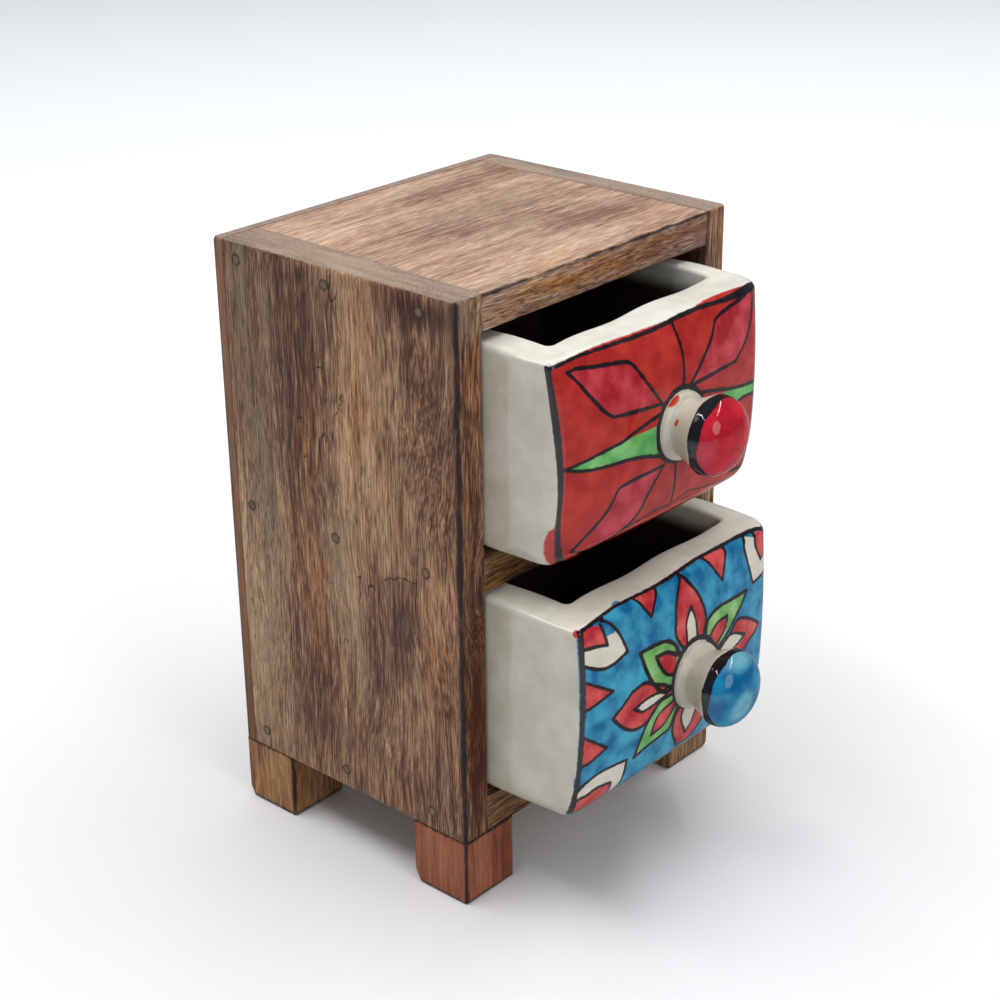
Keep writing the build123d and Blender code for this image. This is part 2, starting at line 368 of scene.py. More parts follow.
def beetle_tracks(points):
    """Distance to the curled tracks and thin cracks on the left board's outer face."""
    flat = points[..., 1:].reshape(-1, 2)
    lines = (
        (stroke(
            (24.0, 161.8), (24.5, 158.7), (24.9, 156.6), (24.4, 154.8), (23.8, 154.4),
            (22.6, 156.0), (21.7, 157.8),
        ), 0.5, 0.55, 0.3),
        (stroke(
            (32.1, 135.3), (30.7, 136.1), (29.4, 136.6), (28.6, 136.5), (28.5, 135.2),
        ), 0.3, 0.6, 0.4),
        (stroke(
            (22.7, 129.5), (22.3, 130.8), (21.6, 130.9), (21.8, 129.7), (22.8, 128.3),
            (23.5, 127.0), (24.7, 124.8),
        ), 0.4, 0.5, 0.3, 0.45),
        (stroke(
            (28.8, 119.4), (30.0, 117.7), (30.7, 115.4), (30.6, 113.0), (30.4, 110.8),
        ), 0.5, 0.6, 0.3),
        (stroke((28.9, 119.4), (28.1, 118.2), (28.6, 116.2)), 0.5, 0.3),
        (stroke((38.3, 120.8), (36.9, 121.6), (36.2, 121.2)), 0.4, 0.5),
        (stroke((37.4, 111.5), (36.6, 110.7), (36.1, 111.3), (36.6, 112.2)), 0.4, 0.4),
        (stroke((34.1, 115.6), (33.3, 116.6), (33.1, 117.6)), 0.4, 0.3),
        (stroke((15.5, 79.6), (15.4, 81.3), (14.4, 82.2), (13.3, 81.8), (13.4, 80.7)), 0.5, 0.7, 0.5),
        (stroke(
            (10.1, 83.6), (9.3, 85.6), (7.5, 86.5), (6.2, 86.3), (5.0, 87.7), (3.5, 87.3),
            (2.0, 87.9), (0.8, 87.3), (-0.6, 87.8),
        ), 0.3, 0.5, 0.4, 0.6, 0.3),
        (stroke((19.2, 82.6), (18.0, 83.7), (18.7, 81.0), (18.4, 78.8), (19.0, 75.6)), 0.4, 0.6, 0.3),
        (stroke((25.5, 61.8), (24.8, 63.5), (23.7, 63.0)), 0.4, 0.5),
        (stroke(
            (14.4, 71.1), (13.6, 66), (13.9, 61.1), (14.9, 53.0), (17.0, 45.3), (19.5, 41.1),
        ), 0.2, 0.3, 0.2, 0.3, 0.2),
        (stroke(
            (-5.3, 107.6), (-3.7, 102.4), (-1.9, 94.7), (-1.4, 88.7), (-0.8, 81.2), (0.2, 71.0),
            (1.7, 58.4),
        ), 0.1, 0.3, 0.5, 0.3, 0.1),
    )
    marks = np.minimum.reduce([ink(flat, line, *pen) for line, *pen in lines])
    return marks.reshape(points.shape[:-1]) + off_face(points, LEFT)


TOP_UNDERSIDE = 153.4


def out_of_square(y):
    """How far the joint of the left board and the top wanders to the right, front to back."""
    return 0.6 + 2.6 * np.clip((y + 16) / 60, 0, 1)


def left_head(points):
    """Above the drawers the left board grows a little thicker towards the back."""
    x, y, z = np.moveaxis(points, -1, 0)
    inner = np.clip((x + 46) / 2.4, 0, 1) * (z > TOP_UNDERSIDE - 0.1)
    return np.stack((x + inner * out_of_square(y), y, z), -1)


side_tones = ("#422820", "#6C4837", "#906D54", "#AE8A68", "#D0AC84")
left_side = planed_board(
    "left_side",
    "z",
    ((5, 14), (3, 20), (3, 4), (3, 136)),
    240,
    (1.1, 0.4, 0.3, 0.4),
    ((0.4, 0.1, 0.5, 0.2), (0.8, 0.25, 1.1, 0.3)),
    left_head,
    light=(
        ((LEFT, 58, 50), (4, 10, 45), 0.22),
        ((LEFT, 53, 140), (4, 9, 40), -0.1),
        ((LEFT, 34, 150), (4, 8.5, 30), -0.2),
        ((LEFT, 41, 118), (4, 3, 40), -0.14),
        ((LEFT, 14, 125), (4, 10, 48), 0.15),
        ((LEFT, 23, 110), (4, 3.5, 25), 0.1),
        ((LEFT, -8, 140), (4, 7, 22), -0.14),
        ((LEFT, -7, 158), (4, 12, 4), -0.3),
        ((LEFT, 5, 73), (4, 5.5, 13), -0.24),
        ((LEFT, -10, 78), (4, 5, 16), 0.12),
        ((LEFT, 36, 38), (4, 9, 15), -0.16),
        ((LEFT, 14, 58), (4, 4, 16), -0.12),
        ((LEFT, 23, 78), (4, 7, 14), 0.1),
        ((LEFT, -4, 30), (4, 14, 12), -0.06),
        ((-47.5, FRONT, 152), (4.5, 3, 14), -0.04),
        ((-47.5, FRONT, 100), (4.5, 3, 40), -0.08),
        ((-47.5, 28, TOP), (5, 9, 2), 0.25),
        ((-47.5, 60, TOP), (5, 8, 2), -0.22),
        ((-47.5, FRONT, 50), (4.5, 3, 36), -0.28),
    ),
    warm=(
        ((LEFT, 55, 60), (4, 10, 60), -0.8),
        ((LEFT, 54, 140), (4, 9, 36), -0.6),
        ((LEFT, 36, 78), (4, 6, 34), 0.9),
        ((LEFT, 34, 120), (4, 5, 14), 0.5),
        ((LEFT, 15, 135), (4, 8, 30), 0.35),
        ((LEFT, 23, 72), (4, 7, 22), -0.6),
        ((LEFT, -8, 78), (4, 5, 20), 0.6),
        ((LEFT, 0, 160), (4, 10, 4), 0.7),
        ((-47.5, FRONT, 158), (5, 3, 7), -1.2),
        ((-47.5, FRONT, 146), (5, 3, 8), 0.7),
        ((-47.5, FRONT, 115), (5, 3, 26), 0.4),
        ((-47.5, FRONT, 50), (4.5, 3, 34), 1.2),
        ((-47.5, FRONT, 55), (3, 3, 5), 0.8),
    ),
    open_grain=(((LEFT, 52, 110), (4, 14, 90), 0.6), ((-47.5, FRONT, 60), (5, 3, 30), 0.5)),
    lean=(
        ((LEFT, -6, 125), (4, 10, 45), 0.2),
        ((LEFT, 30, 95), (4, 12, 22), -0.08),
        ((LEFT, 12, 45), (4, 10, 26), 0.12),
        ((-47.5, FRONT, 76), (5, 3, 18), 0.3),
    ),
    stain=(((0, 1), (LEFT + 0.1, FRONT + 0.1), 1.5), ((1, 2), (FRONT, TOP), 0.4)),
    tracks=beetle_tracks,
    face=(0, LEFT, 0.05),
)
left_side.data.materials.append(
    mango_wood("left_side_mango_wood", "z", (13, 40, 7), side_tones, "#9D8878"),
)
right_side = planed_board(
    "right_side",
    "z",
    ((3, 8), (5, 40), (3, 4), (3, 20)),
    90,
    (0.4, 1.6, 0.4, 0.3),
    ((0.1, 0.4, 0.4, 0.2), (0.25, 0.8, 0.9, 0.3)),
    light=(
        ((RIGHT, 40, 110), (4, 9, 60), -0.2),
        ((RIGHT, 12, 80), (4, 12, 70), 0.1),
        ((RIGHT, 56, 60), (4, 6, 50), 0.1),
        ((RIGHT, -8, 50), (4, 6, 40), -0.15),
        ((47.5, FRONT, 90), (5, 3, 90), -0.06),
        # Painted shade: this row darkens the board's inner face beside the drawers, which lies in
        # shadow.
        ((43.4, -3, 110), (2, 16, 60), -0.6),
    ),
    warm=(
        ((RIGHT, 20, 60), (4, 14, 40), 0.6),
        ((RIGHT, 50, 120), (4, 9, 50), -0.6),
        ((47.5, FRONT, 150), (5, 3, 30), 0.5),
    ),
    stain=(((0, 1), (RIGHT, FRONT), 1.2),),
    face=(0, RIGHT, 0.05),
)
right_side.data.materials.append(
    mango_wood("right_side_mango_wood", "z", (61, 9, 33), side_tones, "#9F8A7A"),
)

# ---------------------------------------------------------------------------
# Cross boards. The top, the shelf and the bottom are mango boards with their
# grain across the chest, held between the sides by brads.


def top_ends(points):
    """The top's left end is cut a little out of square to meet the left board."""
    x, y, z = np.moveaxis(points, -1, 0)
    return np.stack((x + np.clip(-x / 40 - 0.05, 0, 1) * out_of_square(y), y, z), -1)


top_tones = ("#7A5A4C", "#9A7867", "#B29482", "#C6A891", "#DCC0A2")
top_panel = planed_board(
    "top_panel",
    "x",
    ((3, 52), (3, 6), (3, 52), (3, 6)),
    70,
    (0.3, 0.3, 0.4, 0.6),
    ((0.2, 0.2, 0.2, 0.35), (0.2, 0.2, 0.2, 0.35)),
    top_ends,
    light=(
        ((0, -8, TOP), (60, 6, 3), 0.12),
        ((-34, 46, TOP), (10, 12, 3), 0.12),
        ((-5, 58, TOP), (26, 4, 3), 0.12),
        ((5, 28, TOP), (7, 5, 3), 0.1),
        ((12, 47, TOP), (16, 7, 3), -0.16),
        ((-12, 20, TOP), (14, 7, 3), -0.12),
        ((16, 12, TOP), (10, 10, 3), -0.14),
        ((44, 52, TOP), (9, 10, 3), -0.18),
        ((26, 3, TOP), (14, 10, 3), -0.16),
        ((-10, FRONT, 157), (50, 3, 5), -0.02),
        ((26, FRONT, 158), (24, 3, 3.5), -0.16),
        ((46, FRONT, 158), (9, 3, 5), -0.16),
    ),
    warm=(
        ((0, -10, TOP), (60, 5, 3), 0.45),
        ((-32, 44, TOP), (10, 14, 3), 0.5),
        ((-2, 62, TOP), (30, 4, 3), 0.3),
        ((14, 57, TOP), (18, 3, 3), -0.7),
        ((8, 20, TOP), (30, 20, 3), -0.5),
        ((-10, FRONT, 157), (36, 3, 5), 1.1),
    ),
    open_grain=(((0, FRONT, 157), (70, 2, 5), 1.1),),
    stain=(((1, 2), (FRONT, TOP - 0.6), 0.4), ((1, 2), (FRONT, TOP_UNDERSIDE), 0.3)),
)
top_panel.data.materials.append(
    mango_wood("top_panel_mango_wood", "x", (5, 71, 20), top_tones, "#A08B7C", 0.6),
)
rail_tones = ("#3A2218", "#5E4028", "#83613C", "#A27D52", "#C09C6C")
RAILS = (("middle_shelf", (44, 5, 81), 96.4), ("bottom_panel", (17, 33, 60), 29.1))
for cad_node, start, soaked in RAILS:
    rail = planed_board(
        cad_node,
        "x",
        ((3, 30), (3, 8), (3, 30), (3, 8)),
        50,
        (0.3, 0.3, 0.5, 0.5),
        ((0.1, 0.1, 0.2, 0.1), (0.1, 0.1, 0.2, 0.1)),
        light=(((0, FRONT, soaked - 4), (60, 4, 9), -0.14),),
        warm=(((-20, FRONT, soaked - 4), (30, 4, 9), 0.5),),
        stain=(((1, 2), (FRONT, soaked), 0.5), ((1, 2), (FRONT, soaked - 10.4), 0.5)),
    )
    rail.data.materials.append(
        mango_wood(cad_node + "_mango_wood", "x", start, rail_tones, "#8F7869"),
    )

# ---------------------------------------------------------------------------
# Back panel. A thin smooth board nailed over the rear ends of the sides and
# stained a plain reddish brown.

REAR = 66.05
back_panel = planed_board(
    "back_panel",
    "z",
    ((3, 40), (4, 6), (4, 40), (3, 6)),
    60,
    (0.3, 0.3, 0.9, 0.9),
    ((0.3, 0.3, 0.2, 0.5), (1.2, 1.0, 0.2, 0.8)),
    # The dark lines along the side edges stand for stain and for painted shade on the eased chamfers.
    stain=(((0, 1), (LEFT, REAR), 2.0), ((0, 1), (RIGHT, REAR), 1.6)),
    face=(1, REAR, 0.1),
)
back_tones = ("#6A4432", "#79513C", "#885E46", "#966B51", "#A57B5D")
back_panel.data.materials.append(
    # Its dark grey arris colour is stain and painted shade on the chamfers.
    mango_wood("back_panel_stained_wood", "z", (3, 8, 2), back_tones, "#9A8678", 0.2, 0.6, "#4A4038")
)

# ---------------------------------------------------------------------------
# Feet. Four square blocks, glued and nailed under the corners. They come from
# other offcuts, so each has its own tone, and their lower corners are eased.


def eased_foot(depth):
    """Takes a slanting cut off the foot's lower rear corner: nothing at the middle of its side, its
    full depth at the corner, by the sixth power, and less and less for a little way up."""

    def shape(points):
        """The foot's points after that cut."""
        x, y, z = np.moveaxis(points, -1, 0)
        centre = (y.min() + y.max()) / 2
        reach = np.clip((y - centre) / HALF_FOOT, 0, 1) ** 6
        return np.stack((x, y - depth * reach * np.clip(1 - z / (depth * 1.3), 0, 1), z), -1)

    return shape


HALF_FOOT, REAR_FEET = 9.15, 47.75
# Each foot's outer side, front edge, cut, start in the grain, open vessels and fibres.
FEET = (
    ("foot_front_left", LEFT, FRONT, 2.6, (21, 4, 9), 0.1, 0.5),
    ("foot_front_right", RIGHT, FRONT, 1.2, (2, 33, 14), 0.4, 0.9),
    ("foot_back_left", LEFT, REAR_FEET, 2.2, (50, 12, 3), 0.4, 0.9),
    ("foot_back_right", RIGHT, REAR_FEET, 1.2, (8, 55, 41), 0.4, 0.9),
)
FOOT_TONES = (
    ("#683725", "#854B35", "#9A5C42", "#AB6E50", "#C08662"),
    ("#4C3222", "#74553A", "#94724E", "#AE8D64", "#C4A67C"),
    ("#57341F", "#805839", "#A0734B", "#B98C5E", "#D0A878"),
    ("#4A2E1C", "#74503A", "#946F50", "#AC8962", "#C4A27A"),
)
for (foot, x, near, cut, start, vessels, fibres), tones in zip(FEET, FOOT_TONES):
    block = planed_board(
        foot,
        "z",
        ((4, 14), (4, 14), (4, 14), (4, 14)),
        24,
        (0.7, 0.7, 0.7, 0.7),
        ((0.8, 2.4 if x > 0 else 0.8, 0.8, 0.8), (0.2, 0.2, 0.2, 0.2)),
        eased_foot(cut),
        light=(((x, near + 9, 9), (6, 5, 7), 0.06), ((x * 0.7, near, 14), (8, 4, 6), -0.1)),
        stain=(
            ((0, 1), (x, near), 1.3 if near > 0 else 1.0),
            ((1, 2), (near, 0), 1.3),
            ((0, 2), (x, 0), 1.2),
            ((0, 2), (x, FLOOR), 0.25),
            ((1, 2), (near, FLOOR), 0.7),
        ),
    )
    block.data.materials.append(
        mango_wood(foot + "_mango_wood", "z", start, tones, "#6A4938", vessels, fibres),
    )

# ---------------------------------------------------------------------------
# Brads and the filler over their heads. Bright drawn steel wire, and a grey
# brown wood filler rubbed down flush over the brads in the sides.


def dress(cad_node, material):
    """Gives its material to a CAD node that is kept as it is."""
    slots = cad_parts[cad_node].data.materials
    slots.clear()
    slots.append(material)


# Drawn steel wire: a mid grey metal whose glint is broken up by fine drawing marks.
steel, node = new_material("drawn_steel_wire")
drawn = node("TexNoise", {"Scale": 900.0, "Detail": 2.0})
steel_colour = node("ValToRGB", (drawn,), stops=((0.3, "#8C8A86"), (0.7, "#A8A6A1")))
finish(steel, steel_colour, 0.38, drawn, 0.02, Metallic=1.0)

# Rubbed wood filler: matt and gritty, a little darker from one plug to the next, and dark at each
# plug's edge, where the distance from the nearest brad's axis passes a millimetre.
filler, node = new_material("rubbed_wood_filler")
spot = node("TexCoord").outputs["Object"]
grit = node("TexNoise", {"Vector": spot, "Scale": 1100.0, "Detail": 3.0})
shade = node("TexNoise", {"Vector": spot, "Scale": 38.0, "Detail": 0.0})
mixed = node("Math", (grit, 0.4, shade), operation="MULTIPLY_ADD")
filler_colour = node("ValToRGB", (mixed,), stops=((0.5, "#5E4737"), (0.9, "#8A7058")))
axes = node("SeparateXYZ", (spot,)).outputs
half_pitch = (BRAD_Y[1] - BRAD_Y[0]) / 2
row_ends = (BRAD_Y[0] + half_pitch) * MM, (BRAD_Y[0] - half_pitch) * MM
near_y = node("Math", (axes["Y"], *row_ends), operation="WRAP")
near_y = node("Math", (near_y, BRAD_Y[0] * MM), operation="SUBTRACT")
near_z = FAR
for height in BRAD_Z:
    gap = node("Math", (axes["Z"], height * MM), operation="SUBTRACT")
    gap = node("Math", (gap,), operation="ABSOLUTE")
    near_z = node("Math", (gap, near_z), operation="MINIMUM")
out = node("CombineXYZ", (near_y, near_z))
out = node("VectorMath", (out,), operation="LENGTH").outputs["Value"]
out = node("Math", (grit, 0.7 * MM, out), operation="MULTIPLY_ADD")
edge = node("MapRange", (out, 1.05 * MM, 1.5 * MM, 0.0, 0.85))
filler_colour = node("Mix", (edge, filler_colour, linear("#33201C")), **RGBA)
finish(filler, filler_colour, 0.7, grit, 0.08)
for group in ("left_side_brads", "right_side_brads", "back_brads", "foot_brads"):
    dress(group, steel)
for group in ("left_side_plugs", "right_side_plugs"):
    dress(group, filler)

# ---------------------------------------------------------------------------
# Drawers. Press-moulded stoneware trays with thick walls, hand-smoothed rims
# and a front that swells like a pillow. Each is dipped in a glossy cream glaze.
# The rim and the top of the inside are painted a lighter cream as painted light,
# and the inside further down is painted dark as painted shade.

DRAWER_X = -1.85
COLUMNS = ((8, 180), (32, 26), (10, 30), (10, 26))
FLOOR_RINGS, FOOT_RINGS, WALL_RINGS, RIM_RINGS = 5, 16, 120, 5
FLAT_RINGS, LIP_RINGS, INNER_RINGS, COVE_RINGS, CAVITY_RINGS = 6, 5, 11, 5, 4
# How far below the rim the painted shade inside the drawers begins, in millimetres.
INNER_SHADE_DEPTH = 5.0


def tray(shape):
    """A rounded rectangle carried up the tray's profile: out along the underside, round the foot, up
    the wall, over the rim and down inside. Each side has its own foot and rim radius and wall, and
    each corner its own radius. The front is then pushed out by a parabola both ways, most at
    mid-height. Returns x, y, z and the painter's s along and t up the front, in millimetres, with t
    at FAR inside and at -FAR underneath."""
    corner, share, angle = columns_of(COLUMNS)
    cos, sin = np.cos(angle), np.sin(angle)
    width, depth, height = shape["size"]
    foot, rim, wall = (np.array(shape[key], float) for key in ("foot", "rim", "wall"))
    outside, inside = (np.array(shape[key], float) for key in ("corners", "cavity_corners"))
    lip, floor, cove, draft = 1.1, 7.0, 3.0, 0.6

    def by_side(v):
        """One of the left, right, near and far values for each column, blended round the corners."""
        return np.where(cos < 0, v[0], v[1]) * cos**2 + np.where(sin < 0, v[2], v[3]) * sin**2

    foot_at, rim_at = by_side(foot), by_side(rim)
    half = min(width, depth) / 2 - 3
    rings = []
    for s in np.linspace(0, 1, FLOOR_RINGS, endpoint=False):
        rings.append(((1 - s) * half + s * foot, 0, -FAR, 0))
    for q in np.linspace(np.pi / 2, 0, FOOT_RINGS, endpoint=False):
        rings.append((foot * (1 - np.cos(q)), foot_at * (1 - np.sin(q)), foot_at * (1 - q), 0))
    for s in np.linspace(0, 1, WALL_RINGS):
        up = foot_at * (1 - s) + (height - rim_at) * s
        rings.append((0 * foot, up, up, 0))
    for q in np.linspace(0, np.pi / 2, RIM_RINGS + 1)[1:]:
        rings.append(
            (rim * (1 - np.cos(q)), height - rim_at * (1 - np.sin(q)), height - rim_at * (1 - q), 0),
        )
    flat = wall - lip - rim
    for s in np.linspace(0, 1, FLAT_RINGS + 1)[1:]:
        over = height + rim_at * (np.pi / 2 - 1) + s * flat[2]
        rings.append((rim + s * flat, height, over, s))
    for q in np.linspace(np.pi / 2, 0, LIP_RINGS + 1)[1:]:
        rings.append((wall - lip * (1 - np.cos(q)), height - lip * (1 - np.sin(q)), FAR, 1))
    for s in np.linspace(0, 1, INNER_RINGS + 1)[1:]:
        rings.append((wall + draft * s, (height - lip) * (1 - s) + (floor + cove) * s, FAR, 1))
    for q in np.linspace(0, np.pi / 2, COVE_RINGS + 1)[1:]:
        rings.append((wall + draft + cove * (1 - np.cos(q)), floor + cove * (1 - np.sin(q)), FAR, 1))
    for s in np.linspace(0, 1, CAVITY_RINGS + 1)[1:]:
        rings.append(((1 - s) * (wall + draft + cove) + s * half, floor, FAR, 1))
    inset = np.array([ring[0] for ring in rings])
    z, t = (np.array([ring[i] + 0 * foot_at for ring in rings]) for i in (1, 2))
    inner = np.array([ring[3] for ring in rings], float)[:, None]

    left, right = -width / 2 + inset[:, 0], width / 2 - inset[:, 1]
    near, far = inset[:, 2], depth - inset[:, 3]
    beside = inset[:, ((0, 2), (1, 2), (1, 3), (0, 3))].mean(2)
    low_corner = 4.5 * np.clip(1 - z.mean(1, keepdims=True) / 16, 0, 1) ** 1.5
    radius = np.maximum(outside + low_corner - beside, 0.6) * (1 - inner) + inside * inner
    radius = np.minimum(radius, np.minimum(right - left, far - near)[:, None] / 2.05)
    x, y = ringed(corner, share, angle, left, right, near, far, radius)

    # The cavity's front is askew, and the right wall leans in towards the foot. The front swells by
    # a parabola of its height, more at one end than the other, and bows by one of its width, and
    # both die away by a square over 26 mm. Its lower edge is lifted. Smoothing by hand leaves two
    # slow waves along the rim and one on the inside of the front.
    across, up = x / (width / 2), z / height
    low = np.clip(1 - up, 0, 1)
    y = y + inner * shape["front_wall_skew"] * across * np.clip(1 - y / depth * 1.4, 0, 1)
    x = x - shape["right_draft"] * low * (1 + across) / 2 * (1 - inner)
    forward = np.clip(1 - y / 26, 0, 1) ** 2
    belly = 1 - (2 * up - 1) ** 2
    bulge = shape["swell"][0] * (1 - across) / 2 + shape["swell"][1] * (1 + across) / 2
    bow = (shape["bow"] * belly + shape["rim_bow"] * (1 - belly)) * (1 - across**2)
    y = y - (bulge * belly + bow + shape["front_skew"] * across) * forward
    z = z + shape["lip_lift"] * np.clip(1 - y / 38, 0, 1) ** 2 * low
    z = z + (0.25 * np.sin(x / 5.3) + 0.2 * np.sin(y / 4.1 + x / 11)) * np.clip(up * 6 - 5, 0, 1)
    y = y + inner * 0.35 * np.sin(x / 4.3 + 1) * np.clip(1 - y / 25, 0, 1)

    # The painter's s is the length round the ring at mid-height from the middle of the front.
    mid = FLOOR_RINGS + FOOT_RINGS + WALL_RINGS // 2
    step = np.hypot(np.diff(x[mid], append=x[mid, 0]), np.diff(y[mid], append=y[mid, 0]))
    s = np.cumsum(step) - step
    centre = COLUMNS[0][0] + COLUMNS[0][1] // 2
    return x, y, z, np.broadcast_to(s - s[centre] + x[mid, centre], x.shape), t


def mirrored(line, about=0.0):
    """The stroke's mirror image about an upright line, run the other way."""
    return line[::-1] * (-1, 1) + (2 * about, 0)


def area(spots, *lines):
    """Signed distance to a filled shape with those strokes as its outline, negative inside."""
    outline = np.concatenate(lines)
    outline = np.concatenate((outline, outline[:1]))
    away = ink(spots, outline, 0.0)
    a, b = outline[:-1], outline[1:]
    crossings = np.zeros(len(spots), int)
    for p, q in zip(a, b):
        spans = (p[1] > spots[:, 1]) != (q[1] > spots[:, 1])
        if spans.any():
            at = p[0] + (spots[spans, 1] - p[1]) / (q[1] - p[1]) * (q[0] - p[0])
            crossings[spans] += spots[spans, 0] < at
    return np.where(crossings % 2 == 1, -away, away)


def union(*shapes):
    """The least of the distances, so a spot inside any shape is inside."""
    return np.minimum.reduce(shapes)


def without(shape, *holes):
    """The greater of the shape's distance and the holes' distance negated."""
    return np.maximum(shape, -union(*holes))


def painted_drawer(name, cad_node, shape, base, edge_y, paint):
    """A glazed tray in place of its CAD node, with its front painted in coats. Each coat is kept on
    the mesh as the distance in millimetres to its edge. The rim's coat is painted light: a lighter
    cream over the rim and inside, for the light that falls on them. The painted inner shade darkens
    the inside more than its depth below the rim."""
    x, y, z, s, t = tray(shape)
    width, _, height = shape["size"]
    points = np.stack((x + DRAWER_X, y + edge_y, z + base), -1)
    inside = t == FAR
    front = (t > -20) & ~inside & (np.abs(s) < width / 2 + 12)
    spots = np.stack((s[front], t[front]), -1)
    coats = {
        # Painted light: a lighter cream over the rim and all the inside, for the light that falls on
        # them.
        "rim": np.where(inside, -3.0, height - 1.2 - z),
        # Painted shade: dark inside the drawer more than that depth below the rim.
        "painted_inner_shade": np.where(inside, z - (height - INNER_SHADE_DEPTH), FAR),
    }
    for coat, distance in paint(spots).items():
        coats[coat] = np.full(x.shape, FAR)
        coats[coat][front] = distance
    piece = closed_shell(name, points, coats)
    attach(piece, cad_node)
    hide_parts(cad_node)
    return piece


def glazed(name, coats, seed):
    """Stoneware under a clear glossy glaze, dipped cream and painted with a brush. Each coat is
    (attribute, thin colour, thick colour, softness of its edge in millimetres), and slow noise moves
    it from thick to thin. The glaze has an IOR of about 1.5, iron specks a fraction of a millimetre
    wide and slow waves a few millimetres long, which bend the lights it mirrors."""
    glaze, node = new_material(name)
    place = node("TexCoord").outputs["Object"]
    at = node("Mapping", {"Vector": place, "Location": (seed, seed, seed), "Scale": PER_METRE})
    cloud = node("TexNoise", {"Vector": at, "Scale": 1 / 9, "Detail": 3.0, "Roughness": 0.55})
    wash = node("TexNoise", {"Vector": at, "Scale": 1 / 5.5, "Detail": 2.5, "Roughness": 0.5})
    jitter = node("TexNoise", {"Vector": at, "Scale": 1 / 1.4, "Detail": 2.0})
    colour = node("ValToRGB", (cloud,), stops=((0.35, "#C3BDAC"), (0.65, "#D4CFC0")))
    cells = node("TexVoronoi", {"Vector": at, "Scale": 1 / 5.5, "Randomness": 1.0}).outputs
    chosen = node("SeparateColor", (cells["Color"],)).outputs
    size = node("MapRange", (chosen["Red"], 0.62, 1.0, 0.0, 0.055))
    speck = node("Math", (cells["Distance"], size), operation="LESS_THAN")
    colour = node("Mix", (speck, colour, linear("#5E574C")), **RGBA)
    waver = node("Math", (jitter, 0.5), operation="SUBTRACT")
    for coat, thin, thick, soft in coats:
        edge = node("Attribute", attribute_name=coat).outputs["Fac"]
        edge = node("Math", (waver, 0.5, edge), operation="MULTIPLY_ADD")
        cover = node("MapRange", (edge, soft, -soft, 0.0, 1.0), **SMOOTH)
        body = node("ValToRGB", (wash,), stops=((0.36, thick), (0.66, thin)))
        colour = node("Mix", (cover, colour, body), **RGBA)
    slow = node("TexNoise", {"Vector": at, "Scale": 1 / 11, "Detail": 1.0})
    relief = node("Math", (jitter, 0.06, slow), operation="MULTIPLY_ADD")
    finish(glaze, colour, 0.05, relief, 0.3, IOR=1.45)
    return glaze


# The upper drawer's front is washed red, with four crimson petals towards its
# corners and a green leaf to either side of the knob, all outlined in black.

upper_shape = {
    "size": (81.7, 76.5, 53.8),
    "foot": (5, 7, 5, 9),
    "rim": (1.5, 3.5, 1.6, 2),
    "wall": (9, 7.4, 9.9, 7.2),
    "corners": (2, 7.5, 4, 4),
    "cavity_corners": (2, 2.5, 4, 4),
    "front_wall_skew": 2.2,
    "right_draft": 0.7,
    "swell": (3.5, 0.9),
    "bow": 4.2,
    "rim_bow": 1.2,
    "front_skew": 1.1,
    "lip_lift": 0.8,
}


